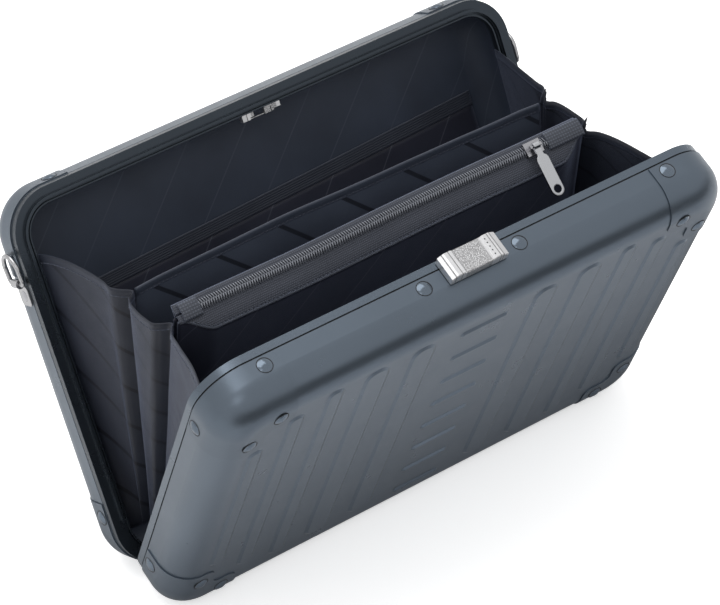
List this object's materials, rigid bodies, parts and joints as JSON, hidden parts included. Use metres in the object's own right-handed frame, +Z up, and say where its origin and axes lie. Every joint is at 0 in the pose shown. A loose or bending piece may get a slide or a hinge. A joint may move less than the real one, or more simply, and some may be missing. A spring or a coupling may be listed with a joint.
{
  "type": "attache case",
  "caption": "Slim riveted metal attache case, standing open, with ribbed shells, corner caps, sliding latch, piano hinge, strap rings and a fabric organiser with a zip pocket.",
  "frame": {"origin": "centre of the bounding box's bottom face, on the floor under the hinge axis", "axes": "+X along the hinge, +Z up, the front shell with the latch towards -Y and the rear shell with the strap rings towards +Y"},
  "size_m": [0.3816, 0.2654, 0.2435],
  "materials": {
    "shell": "satin, slate grey",
    "frame": "satin, slate grey",
    "seal": "matte",
    "lining": "fine woven satin",
    "cap": "satin, slate grey",
    "rivet": "semi-gloss, slate grey",
    "hinge": "brushed",
    "latch": "satin nickel",
    "spring": "plain",
    "ring": "nickel plated",
    "board": "matte",
    "divider_cloth": "fine woven satin",
    "pocket_cloth": "fine woven satin",
    "elastic": "ribbed elastic",
    "zip_tape": "herringbone woven tape",
    "zip_teeth": "moulded coil",
    "zip_metal": "nickel plated",
    "gusset_cloth": "fine woven satin"
  },
  "bodies": {
    "rear_half": {"rear_shell": "shell", "rear_frame": "frame", "rear_seal": "seal", "rear_lining": "lining", "rear_cap_top_left": "cap", "rear_cap_top_right": "cap", "rear_cap_bottom_left": "cap", "rear_cap_bottom_right": "cap", "rear_cap_rivets": "rivet", "hinge_leaf_rear": "hinge", "hinge_rivets_rear": "hinge", "hinge_pin": "hinge", "latch_strike": "latch", "strap_ring_plate_left": "ring", "strap_ring_plate_right": "ring", "strap_ring_screw_left": "ring", "strap_ring_screw_right": "ring", "organiser_base": "board", "wall_pocket": "pocket_cloth", "wall_pocket_elastic": "elastic", "gusset_rear_left": "gusset_cloth", "gusset_rear_right": "gusset_cloth", "gusset_middle_left": "gusset_cloth", "gusset_middle_right": "gusset_cloth", "gusset_front_left": "gusset_cloth", "gusset_front_right": "gusset_cloth"},
    "front_half": {"front_shell": "shell", "front_frame": "frame", "front_seal": "seal", "front_lining": "lining", "front_cap_top_left": "cap", "front_cap_top_right": "cap", "front_cap_bottom_left": "cap", "front_cap_bottom_right": "cap", "front_cap_rivets": "rivet", "hinge_leaf_front": "hinge", "hinge_rivets_front": "hinge", "latch_rivets": "rivet", "latch_base": "latch", "latch_spring": "spring"},
    "latch_slide_body": {"latch_slider": "latch", "latch_hook": "latch"},
    "ring_left": {"strap_ring_left": "ring"},
    "ring_right": {"strap_ring_right": "ring"},
    "divider_body": {"divider": "divider_cloth"},
    "zip_pocket_body": {"pocket_front_panel": "pocket_cloth", "pocket_rear_panel": "pocket_cloth", "zip_tape_front": "zip_tape", "zip_tape_rear": "zip_tape", "zip_teeth_front": "zip_teeth", "zip_teeth_rear": "zip_teeth", "zip_end_tab_left": "zip_tape", "zip_end_tab_right": "zip_tape"},
    "zip_slider_body": {"zip_slider": "zip_metal"},
    "zip_pull_body": {"zip_pull": "zip_metal"}
  },
  "joints": [
    {"name": "lid_hinge", "type": "hinge", "parent": "rear_half", "child": "front_half", "pos_m": [0, 0, 0.00975], "axis": [-1, 0, 0], "range_deg": [0, 49.5], "deforming": ["gusset_rear_left", "gusset_rear_right", "gusset_middle_left", "gusset_middle_right", "gusset_front_left", "gusset_front_right"]},
    {"name": "divider_fold", "type": "hinge", "parent": "rear_half", "child": "divider_body", "pos_m": [0, 0.01774, 0.01479], "axis": [-1, 0, 0], "range_deg": [0, 25.48]},
    {"name": "pocket_fold", "type": "hinge", "parent": "rear_half", "child": "zip_pocket_body", "pos_m": [0, 0.00775, 0.0194], "axis": [-1, 0, 0], "range_deg": [0, 34.86]},
    {"name": "latch_slide", "type": "slide", "parent": "front_half", "child": "latch_slide_body", "axis": [1, 0, 0], "range_m": [0, 0.004]},
    {"name": "ring_swing_left", "type": "hinge", "parent": "rear_half", "child": "ring_left", "pos_m": [-0.18795, 0.09411, 0.18429], "axis": [0, -0.9081, 0.4187], "range_deg": [-5, 145]},
    {"name": "ring_swing_right", "type": "hinge", "parent": "rear_half", "child": "ring_right", "pos_m": [0.18795, 0.09411, 0.18429], "axis": [0, 0.9081, -0.4187], "range_deg": [-5, 145]},
    {"name": "zip_slide", "type": "slide", "parent": "zip_pocket_body", "child": "zip_slider_body", "axis": [1, 0, 0], "range_m": [-0.237, 0]},
    {"name": "zip_pull_swing", "type": "hinge", "parent": "zip_slider_body", "child": "zip_pull_body", "pos_m": [0.112, -0.03142, 0.21961], "axis": [1, 0, 0], "range_deg": [-190, 0]}
  ],
  "couplings": [
    {"joint": "divider_fold", "follows": "lid_hinge", "ratio": 0.5145},
    {"joint": "pocket_fold", "follows": "lid_hinge", "ratio": 0.704}
  ]
}
